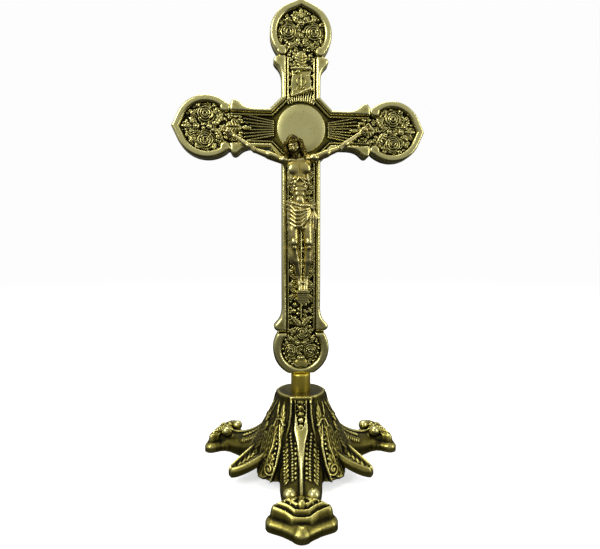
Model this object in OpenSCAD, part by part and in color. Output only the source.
// Altar cross: a cast cross with a separate cast figure, clamped through a turned collar
// to a three-legged cast base by a threaded rod, two washers and a nut.
// Millimetres. +Z is up and -Y is the front. The origin is at table level, in the middle of the
// space that the object takes up, which puts the stem a little behind it.

/* [Overall] */
// Height from the table to the tip of the cross
total_h = 350; // [300:1:420]
// Width across the two arms
span_w = 189; // [165:1:230]
// Height of the base casting
base_h = 58; // [48:1:70]
// Turn of the cross on its base, with its right arm brought forward
cross_turn = 5; // [0:1:15]
// Reach of a toe from the stem axis
foot_reach = 91; // [76:1:110]

/* [Cross casting] */
// Reach of the top arm above the centre of the crossing
top_reach = 95.5; // [82:0.5:115]
// Thickness over the raised border
cross_t = 9; // [8:0.5:11]
// Depth of the sunk field
field_depth = 2.8; // [1.5:0.1:4]
// Width of the arms and the shaft
arm_w = 29; // [25:0.5:33]
// Width of the raised border on the arms
border_w = 3.6; // [2.5:0.1:4.5]
// Width of the raised border round a lobe
lobe_border_w = 5.2; // [4:0.1:6.5]
// Radius of the three upper lobes
lobe_r = 23; // [20:0.5:27]
// Rise of a lobe's point above its centre, as a multiple of its radius
lobe_point = 1.1; // [1.02:0.01:1.25]
// Radius of the foot lobe
foot_lobe_r = 21.2; // [20:0.1:24]
// Height of the foot lobe's centre above the collar
foot_lobe_up = 19; // [16:0.5:20]

/* [Crossing and title] */
// Diameter of the nimbus disc
nimbus_d = 35.8; // [30:0.2:40]
// Thickness of the nimbus disc
nimbus_t = 2.4; // [1.5:0.1:3]
// Width of the title scroll
scroll_w = 15; // [12:0.5:18]
// Height of the title scroll
scroll_h = 22.5; // [19:0.5:26]
// Thickness of the title scroll
scroll_t = 2; // [1.2:0.1:2.6]

/* [Stem] */
// Outer diameter of the collar
collar_d = 14.8; // [13:0.2:18]
// Height of the collar
collar_h = 13.6; // [11:0.2:17]
// Diameter of the threaded rod
rod_d = 5; // [4:0.5:6]
// Depth that the rod is screwed into the cross
rod_in_cross = 13; // [10:0.5:16]
// Thickness of the base's crown, where the rod passes through
crown_t = 6; // [5:0.5:8]
// Travel of the nut down the rod
nut_travel = 4; // [3:0.5:5]

/* [Base casting] */
// Diameter of the flat top
base_top_d = 35; // [29:0.5:41]
// Radius of the skirt's hem between the legs
skirt_r = 40.5; // [36:0.5:48]
// Wall of the casting
base_wall = 4; // [3:0.5:5]
// Width across a foot
foot_w = 42.8; // [36:0.2:50]
// Height of a foot's crown
foot_h = 16; // [15:0.5:20]
// Height of the toe's rim
toe_h = 6.5; // [5:0.5:8]
// Reach of the leaf tips between the legs
leaf_reach = 57.5; // [50:0.5:66]

/* [Figure] */
// Distance between the two hand nails
hand_span = 101; // [92:1:112]
// Shift of the hands to the figure's right
hand_shift = 3; // [0:0.5:5]
// Drop of the lower hand below the centre of the crossing
hand_drop = 4.6; // [2:0.2:6]
// Drop of the foot rest's top below the centre of the crossing
foot_drop = 120.5; // [116:0.5:124]
// Diameter of the nails
nail_d = 1.8; // [1.5:0.1:2.2]

/* [Hidden] */
$fn = 64;

eps = 0.01;
overshoot = 1;                                   // how far a cutting tool runs past a face
cross_z = base_h + collar_h;                     // underside of the foot lobe
halo_z = total_h - top_reach;                    // centre of the crossing
field_y = -cross_t / 2 + field_depth;            // plane of the sunk field
leg_angles = [-90, 30, 150];
leaf_angles = [-30, 90, 210];

// The frame's origin is half way between the front toe and the backs of the rear feet
toe_corner_r = 6;
toe_corner_x = foot_reach - 15.5;
rear_reach = toe_corner_x / 2 + (foot_w / 2 - toe_corner_r) * cos(30) + toe_corner_r;
stem_y = (foot_reach - rear_reach) / 2;

rod_clearance = 0.25;                            // round the rod in the collar, crown and washers
rod_bore_d = rod_d + 2 * rod_clearance;
thread_clearance = 0.05;                         // round the rod in the tapped holes
tapped_d = rod_d + 2 * thread_clearance;
washer_d = 2.2 * rod_d;
washer_t = 1.4;
spring_t = 1.4;
spring_d = 1.8 * rod_d;
nut_flats = 1.6 * rod_d;
nut_t = 0.8 * rod_d;
crown_z = base_h - crown_t;                      // underside of the crown
nut_z = crown_z - washer_t - spring_t - nut_t;   // underside of the tight nut
rod_end_z = nut_z - nut_travel - 1.5;

// Moves a piece drawn round the stem axis to the stem's place in the frame
module on_stem() {
    translate([0, stem_y, 0]) children();
}

// The same for the cross and what is fixed to it
module on_cross() {
    translate([0, stem_y, 0]) rotate([0, 0, cross_turn]) children();
}

// ---------- stem and its clamp ----------

// A tube standing on height z
module tube(z, outer_d, bore_d, h) {
    translate([0, 0, z])
        difference() {
            cylinder(d = outer_d, h = h);
            translate([0, 0, -overshoot]) cylinder(d = bore_d, h = h + 2 * overshoot);
        }
}

module stem_collar() {
    bevel = 1.2;                                 // at the top, where it meets the foot lobe
    color("gold")
        on_stem() {
            difference() {
                union() {
                    translate([0, 0, base_h]) cylinder(d = collar_d, h = collar_h - bevel);
                    translate([0, 0, cross_z - bevel])
                        cylinder(d1 = collar_d, d2 = collar_d - 2 * bevel, h = bevel);
                }
                translate([0, 0, base_h - overshoot])
                    cylinder(d = rod_bore_d, h = collar_h + 2 * overshoot);
            }
        }
}

module stem_rod() {
    color("goldenrod")
        on_stem()
            translate([0, 0, rod_end_z])
                cylinder(d = rod_d, h = cross_z + rod_in_cross - 0.5 - rod_end_z);
}

module clamp_washer() {
    color("goldenrod") on_stem() tube(crown_z - washer_t, washer_d, rod_bore_d, washer_t);
}

module spring_washer() {
    split = 0.8;                                 // the cut through the ring
    z = crown_z - washer_t - spring_t;
    color("silver")
        on_stem()
            difference() {
                tube(z, spring_d, rod_bore_d, spring_t);
                translate([0, -split / 2, z - overshoot])
                    cube([spring_d, split, spring_t + 2 * overshoot]);
            }
}

module clamp_nut() {
    color("silver")
        on_stem()
            translate([0, 0, nut_z])
                difference() {
                    cylinder(d = nut_flats / cos(30), h = nut_t, $fn = 6);
                    translate([0, 0, -overshoot])
                        cylinder(d = tapped_d, h = nut_t + 2 * overshoot);
                }
}

// ---------- base casting ----------

flare_r = 52;                                    // radius of the leg's hollow sweep
ankle_x = foot_reach - 27;
ankle_z = 12;
ankle_w = 26;
hem_z = 5;
leaf_w = 18;
leaf_t = 5;
leaf_tip_z = 6.4;

// Centre of the circle of radius r through points a and b, on the upper right of the line a-b
function arc_centre(a, b, r) =
    let (d = b - a, l = norm(d), up = [-d[1], d[0]] / l)
    (a + b) / 2 + up * sqrt(r * r - l * l / 4);

sweep_c = arc_centre([base_top_d / 2, base_h], [ankle_x, ankle_z], flare_r);

// Half section of the skirt between the legs: an S curve from the top's rim to the hem
function skirt_curve(inset) =
    [for (a = [0 : 10 : 180])
        [base_top_d / 2 - inset + (skirt_r - base_top_d / 2) * (a / 180 - sin(2 * a) / 7),
         base_h + (hem_z - base_h) * (1 - cos(a)) / 2]];

module skirt_shell() {
    rotate_extrude()
        difference() {
            polygon(concat([[0, hem_z], [0, base_h]], skirt_curve(0)));
            intersection() {
                polygon(concat([[0, hem_z - overshoot], [0, base_h]], skirt_curve(base_wall),
                               [[skirt_r - base_wall, hem_z - overshoot]]));
                translate([0, hem_z - overshoot])
                    square([skirt_r, crown_z - hem_z + overshoot]);
            }
        }
}

// Side view of a leg and its foot, with x outwards and y up; drop lowers the sweep for the hollow
module leg_profile() {
    crown_r = foot_h / 2;
    difference() {
        polygon([[base_top_d / 2 - base_wall, base_h], [base_top_d / 2, base_h], [ankle_x, ankle_z],
                 [ankle_x, 0], [base_top_d / 2, 0]]);
        translate(sweep_c) circle(r = flare_r, $fn = 128);
    }
    translate([foot_reach - 18, crown_r]) circle(r = crown_r);
    polygon([[ankle_x - 1, 0], [foot_reach, 0], [foot_reach, toe_h], [foot_reach - 11, foot_h * 0.86],
             [foot_reach - 18, foot_h * 0.9], [ankle_x - 1, ankle_z]]);
}

// Top view of a leg and its foot, with the toe on +X
module leg_plan() {
    corner_y = foot_w / 2 - toe_corner_r;
    waist = ankle_w / 2;
    root = base_top_d * 0.16;                    // half width where the leg springs from the top
    polygon([[0, -root], [base_top_d / 2, -root], [base_top_d / 2 + 14, -waist - 1],
             [ankle_x - 8, -waist], [ankle_x + 3, -waist - 1.5],
             [toe_corner_x - 3, -foot_w / 2 + 1], [toe_corner_x + 3, -foot_w / 2 + 1],
             [foot_reach - 1.6, -4], [foot_reach - 1.6, 4],
             [toe_corner_x + 3, foot_w / 2 - 1], [toe_corner_x - 3, foot_w / 2 - 1],
             [ankle_x + 3, waist + 1.5], [ankle_x - 8, waist],
             [base_top_d / 2 + 14, waist + 1], [base_top_d / 2, root], [0, root]]);
    for (s = [-1, 1]) translate([toe_corner_x, s * corner_y]) circle(r = toe_corner_r);
    translate([foot_reach - toe_corner_r, 0]) circle(r = toe_corner_r);
}

module leg() {
    intersection() {
        linear_extrude(base_h) leg_plan();
        rotate([90, 0, 0]) linear_extrude(foot_w + 2 * overshoot, center = true) leg_profile();
    }
}

// The hollow under a leg, open to the table
module leg_hollow() {
    width = ankle_w - 2 * base_wall;
    rotate([90, 0, 0])
        linear_extrude(width, center = true)
            difference() {
                polygon([[0, -overshoot], [ankle_x, -overshoot], [ankle_x, ankle_z],
                         [base_top_d / 2, crown_z], [0, crown_z]]);
                translate(sweep_c) circle(r = flare_r + base_wall, $fn = 128);
            }
}

// A pointed leaf that hangs from the skirt, with its tip on +X
module skirt_leaf() {
    root_x = skirt_r - 14;
    length = leaf_reach - root_x;
    side_r = (length * length + leaf_w * leaf_w / 4) / leaf_w;
    fall = 15;
    intersection() {
        linear_extrude(base_h)
            intersection_for(s = [-1, 1])
                translate([root_x, s * (side_r - leaf_w / 2)]) circle(r = side_r, $fn = 128);
        rotate([90, 0, 0])
            linear_extrude(leaf_w, center = true)
                polygon([[root_x, leaf_tip_z + fall], [leaf_reach, leaf_tip_z],
                         [leaf_reach, leaf_tip_z + leaf_t],
                         [root_x, leaf_tip_z + fall + leaf_t + 4]]);
    }
}

module base_casting() {
    color("darkkhaki")
        on_stem() difference() {
            union() {
                skirt_shell();
                difference() {
                    union() {
                        for (a = leg_angles) rotate([0, 0, a]) leg();
                        for (a = leaf_angles) rotate([0, 0, a]) skirt_leaf();
                    }
                    for (a = leg_angles) rotate([0, 0, a]) leg_hollow();
                    translate([0, 0, -overshoot])
                        cylinder(r = skirt_r - 2 * base_wall, h = hem_z + overshoot + eps);
                    rotate_extrude()
                        intersection() {
                            polygon(concat([[0, hem_z], [0, base_h]], skirt_curve(base_wall)));
                            square([skirt_r, crown_z]);
                        }
                }
            }
            translate([0, 0, crown_z - overshoot])
                cylinder(d = rod_bore_d, h = crown_t + 2 * overshoot);
        }
}

// ---------- cross casting ----------

corner_chamfer = 9;                              // across the corners between the arms
knuckle_r = 5.6;                                 // the swelling where a lobe meets its arm
knuckle_out = 20.6;                              // reach of a knuckle from the arm's middle
lobe_rise = lobe_r * lobe_point;
foot_lobe_z = cross_z + foot_lobe_up;

// An upper lobe with its centre at the origin and its point on +Y
module pointed_lobe(inset) {
    r = lobe_r - inset;
    side_a = acos(1 / lobe_point) + 7;           // the straight sides run in to this angle
    x = 0.985 * r * sin(side_a);
    y = 0.985 * r * cos(side_a);
    circle(r = r);
    polygon([[0, r * lobe_point], [-x, y], [x, y]]);
}

// The swellings either side of an arm, at height y, and the taper below them
module knuckles(y) {
    centre_x = knuckle_out - knuckle_r;
    taper = 12;
    for (s = [-1, 1]) translate([s * centre_x, y]) circle(r = knuckle_r);
    polygon([[1 - arm_w / 2, y - taper], [arm_w / 2 - 1, y - taper],
             [knuckle_out - 2, y - 3.5], [2 - knuckle_out, y - 3.5]]);
}

// The outline, with height above the crossing as +Y; the insets give the sunk field
module cross_plan(inset, lobe_inset) {
    half = arm_w / 2 - inset;
    top_c = top_reach - lobe_rise;
    side_c = span_w / 2 - lobe_rise;
    foot_c = foot_lobe_z - halo_z;
    chamfer_side = sqrt(2) * (arm_w + corner_chamfer) - 2 * inset;
    rotate(45) square(chamfer_side, center = true);
    translate([-side_c, -half]) square([2 * side_c, 2 * half]);
    translate([-half, foot_c]) square([2 * half, top_c - foot_c]);
    translate([0, top_c]) pointed_lobe(lobe_inset);
    translate([side_c, 0]) rotate(-90) pointed_lobe(lobe_inset);
    translate([-side_c, 0]) rotate(90) pointed_lobe(lobe_inset);
    translate([0, foot_c]) circle(r = foot_lobe_r - lobe_inset);
}

module cross_outline() {
    drop = 21;                                   // from a lobe's centre to its knuckles
    difference() {
        union() {
            cross_plan(0, 0);
            translate([0, top_reach - lobe_rise]) knuckles(-drop);
            rotate(90) translate([0, span_w / 2 - lobe_rise]) knuckles(-drop);
            rotate(-90) translate([0, span_w / 2 - lobe_rise]) knuckles(-drop);
            translate([0, foot_lobe_z - halo_z]) rotate(180) knuckles(4 - drop);
        }
        translate([-span_w / 2, cross_z - halo_z - 2 * foot_lobe_r])
            square([span_w, 2 * foot_lobe_r]);
    }
}

// The sunk field leaves a boss round the rod
module cross_field() {
    boss = rod_d + 6;
    difference() {
        cross_plan(border_w, lobe_border_w);
        translate([-boss / 2, cross_z - halo_z - overshoot])
            square([boss, rod_in_cross + 3 + overshoot]);
    }
}

// Hole through the plate at x and height z
module plate_hole(x, z, d) {
    translate([x, 0, z]) rotate([90, 0, 0]) cylinder(d = d, h = 2 * cross_t, center = true);
}

module cross_casting() {
    color("olive")
        on_cross()
            difference() {
                translate([0, 0, halo_z])
                    rotate([90, 0, 0]) linear_extrude(cross_t, center = true) cross_outline();
                translate([0, field_y, halo_z])
                    rotate([90, 0, 0]) linear_extrude(field_depth + overshoot) cross_field();
                translate([0, 0, cross_z - overshoot])
                    cylinder(d = tapped_d, h = rod_in_cross + overshoot);
                plate_hole(0, halo_z, spigot_d);
                plate_hole(rest_x, rest_peg_z, spigot_d);
                for (z = scroll_peg_z) plate_hole(0, z, peg_d);
                for (p = nail_points) plate_hole(p[0], p[1], nail_bore_d);
            }
}

// ---------- nimbus and title scroll ----------

spigot_d = 4;                                    // pressed spigots of the nimbus and foot rest
peg_d = 2;                                       // the title scroll's two pressed pegs
press_gap = 0.02;
scroll_z = halo_z + nimbus_d / 2 + 4.6;          // lowest corner of the title scroll
scroll_peg_z = [scroll_z + scroll_h * 0.35, scroll_z + scroll_h * 0.78];

// A peg through the plate at x and height z, rooted in the piece in front of it
module plate_peg(x, z, d) {
    root = 0.5;
    translate([x, cross_t / 2, z])
        rotate([90, 0, 0]) cylinder(d = d - 2 * press_gap, h = cross_t / 2 - field_y + root);
}

module nimbus_disc() {
    color("khaki")
        on_cross() {
            translate([0, field_y, halo_z]) rotate([90, 0, 0]) cylinder(d = nimbus_d, h = nimbus_t);
            plate_peg(0, halo_z, spigot_d);
        }
}

module title_scroll() {
    slant = 5;                                   // the foot of the scroll rises to the right
    w = scroll_w / 2;
    color("khaki")
        on_cross() {
            translate([0, field_y, scroll_z])
                rotate([90, 0, 0])
                    linear_extrude(scroll_t)
                        polygon([[-w, 0], [w, slant], [w, scroll_h], [-w, scroll_h]]);
            for (z = scroll_peg_z) plate_peg(0, z, peg_d);
        }
}

// ---------- figure, foot rest and nails ----------

figure_y = -cross_t / 2 - 0.3;                   // back of the limbs, just clear of the border
rest_top_z = halo_z - foot_drop;
rest_x = 0.7;
rest_w = 9.4;
rest_h = 9;
rest_out = 8.5;                                  // from the field to the foot rest's front
rest_peg_z = rest_top_z - rest_h / 2;
right_hand = [-hand_span / 2 - hand_shift, halo_z - hand_drop];
left_hand = [hand_span / 2 - hand_shift, halo_z - hand_drop + 4];
feet = [rest_x, rest_top_z + 6.4];
nail_points = [right_hand, left_hand, feet];
nail_bore_d = nail_d + 0.3;
nail_head_d = 2 * nail_d;
hand_t = 3;                                      // thickness of a hand
lug_d = 4.4;                                     // cast lugs behind the hands and feet

// What spans some balls, each given as [x, depth below the crossing, gap behind it, radius]
module span(balls) {
    hull() {
        for (p = balls)
            translate([p[0], figure_y - p[2] - p[3], halo_z - p[1]]) sphere(r = p[3], $fn = 20);
    }
}

module limb(a, b) {
    span([a, b]);
}

module arm(shoulder, elbow, hand) {
    wrist = [hand[0] * 0.9, (halo_z - hand[1]) * 0.9 + elbow[1] * 0.1, 0.2, 1.6];
    palm = [hand[0], halo_z - hand[1], 0, hand_t / 2];
    limb(shoulder, elbow);
    limb(elbow, wrist);
    limb(wrist, palm);
}

module leg_and_foot(hip, knee, ankle) {
    limb(hip, knee);
    limb(knee, ankle);
    limb(ankle, [feet[0], foot_drop - 3, 0.6, 2.2]);
}

module corpus() {
    head = [-5.6, 10, 3, 7];
    color("gold")
        on_cross()
            difference() {
                union() {
                    limb(head, [-4.6, 16, 4, 5.4]);
                    limb(head, [-2, 27, 1.6, 5]);
                    span([[-8, 28, 1, 5.4], [4.4, 28, 1, 5.4], [-4.4, 50, 2.4, 4.6], [1.2, 50, 2.4, 4.6]]);
                    span([[-4.4, 50, 2.4, 4.6], [1.2, 50, 2.4, 4.6], [-7, 63, 2, 5.6], [4, 63, 2, 5.6]]);
                    limb([8.5, 55, 2, 2.4], [11, 71, 2, 2]);
                    arm([-12.5, 25.4, 1.4, 3.6], [-34, 17.6, 1, 2.5], right_hand);
                    arm([8, 23.6, 1.4, 3.6], [28, 15, 1, 2.5], left_hand);
                    limb([-12, 25.6, 1.4, 3.6], [8, 24.4, 1.4, 3.8]);
                    leg_and_foot([-5.6, 64, 2.4, 5], [-5.4, 85, 3.8, 3.8], [-1.2, 111, 0.8, 2.2]);
                    leg_and_foot([3.6, 64, 2.4, 5], [4, 85, 3.8, 3.8], [2.2, 111, 0.8, 2.2]);
                    for (p = nail_points)
                        translate([p[0], field_y, p[1]])
                            rotate([90, 0, 0])
                                cylinder(d = lug_d, h = field_y - figure_y + 1.4, $fn = 24);
                }
                for (p = nail_points)
                    translate([p[0], 0, p[1]])
                        rotate([90, 0, 0]) cylinder(d = nail_bore_d, h = 60, center = true, $fn = 24);
            }
}

module foot_rest() {
    color("gold")
        on_cross() {
            translate([rest_x - rest_w / 2, field_y - rest_out, rest_top_z - rest_h])
                cube([rest_w, rest_out, rest_h]);
            plate_peg(rest_x, rest_peg_z, spigot_d);
        }
}

// A nail at point p with its head's underside at depth front_y, peened over behind the plate
module nail(p, front_y) {
    back_y = cross_t / 2;
    head_t = nail_d * 0.5;
    translate([p[0], 0, p[1]])
        rotate([90, 0, 0]) {
            translate([0, 0, -back_y]) cylinder(d = nail_d, h = back_y - front_y);
            translate([0, 0, -front_y]) cylinder(d1 = nail_head_d, d2 = nail_d, h = head_t);
            translate([0, 0, -back_y - head_t]) cylinder(d1 = nail_d, d2 = nail_head_d, h = head_t);
        }
}

module hand_nails() {
    color("goldenrod")
        on_cross() {
            nail(right_hand, figure_y - hand_t - 0.3);
            nail(left_hand, figure_y - hand_t - 0.3);
        }
}

module foot_nail() {
    instep = 5.4;                                // from the figure's back to the front of the feet
    color("goldenrod") on_cross() nail(feet, figure_y - instep);
}

base_casting();
stem_collar();
stem_rod();
clamp_washer();
spring_washer();
clamp_nut();
cross_casting();
nimbus_disc();
title_scroll();
corpus();
foot_rest();
hand_nails();
foot_nail();
